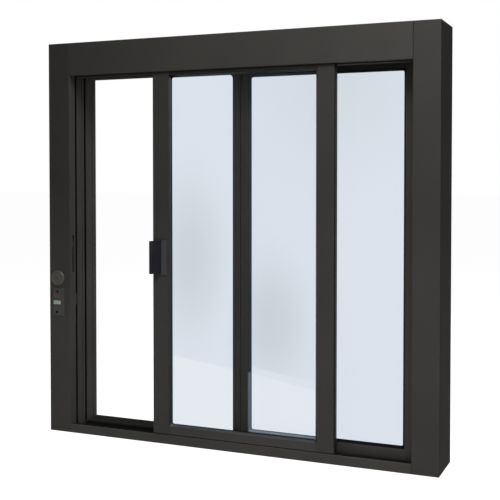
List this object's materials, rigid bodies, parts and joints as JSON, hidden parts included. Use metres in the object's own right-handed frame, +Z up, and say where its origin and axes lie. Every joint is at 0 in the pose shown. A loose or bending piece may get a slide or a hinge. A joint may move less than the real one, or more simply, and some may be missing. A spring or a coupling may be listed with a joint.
{
  "type": "sliding service window",
  "caption": "Dark bronze aluminium service window: a glazed panel slides in front of a fixed glazed panel, shown part open, with a key lock in the jamb.",
  "frame": {"origin": "on the sill's underside, at mid width and mid frame depth", "axes": "+X to the right seen from the staff side, +Y through the window away from the staff side, +Z up"},
  "size_m": [0.915, 0.1415, 0.903],
  "materials": {
    "frame_bronze": "dark bronze anodised, satin",
    "panel_bronze": "dark bronze anodised, satin",
    "clear_glass": "clear toughened glass with a faint blue cast",
    "gasket_rubber": "matt black glazing rubber",
    "pull_black": "black anodised, satin",
    "pull_grey": "grey anodised, satin",
    "hanger_steel": "zinc plated",
    "wheel_nylon": "natural nylon",
    "lock_bronze": "dark bronze plated",
    "plate_bronze": "dark bronze anodised, satin",
    "indicator_green": "muted green, unlettered",
    "filler_vinyl": "black vinyl, matt"
  },
  "bodies": {
    "root": {"left_jamb": "frame_bronze", "right_jamb": "frame_bronze", "head": "frame_bronze", "sill": "frame_bronze", "sill_guide_track": "frame_bronze", "sill_rear_filler": "filler_vinyl", "sliding_left_stile": "panel_bronze", "sliding_right_stile": "panel_bronze", "sliding_top_rail": "panel_bronze", "sliding_bottom_rail": "panel_bronze", "sliding_glass": "clear_glass", "sliding_front_gasket": "gasket_rubber", "sliding_rear_gasket": "gasket_rubber", "pull_handle": "pull_black", "pull_base": "pull_grey", "left_hanger": "hanger_steel", "right_hanger": "hanger_steel", "hanger_wheels": "wheel_nylon", "fixed_left_stile": "panel_bronze", "fixed_right_stile": "panel_bronze", "fixed_top_rail": "panel_bronze", "fixed_bottom_rail": "panel_bronze", "fixed_glass": "clear_glass", "fixed_front_gasket": "gasket_rubber", "fixed_rear_gasket": "gasket_rubber", "lock_collar": "lock_bronze", "lock_cylinder": "lock_bronze", "lock_plug": "lock_bronze", "lock_indicator_plate": "plate_bronze", "lock_indicator_window": "indicator_green", "lock_case": "hanger_steel", "hook_bolt": "hanger_steel"}
  },
  "joints": []
}
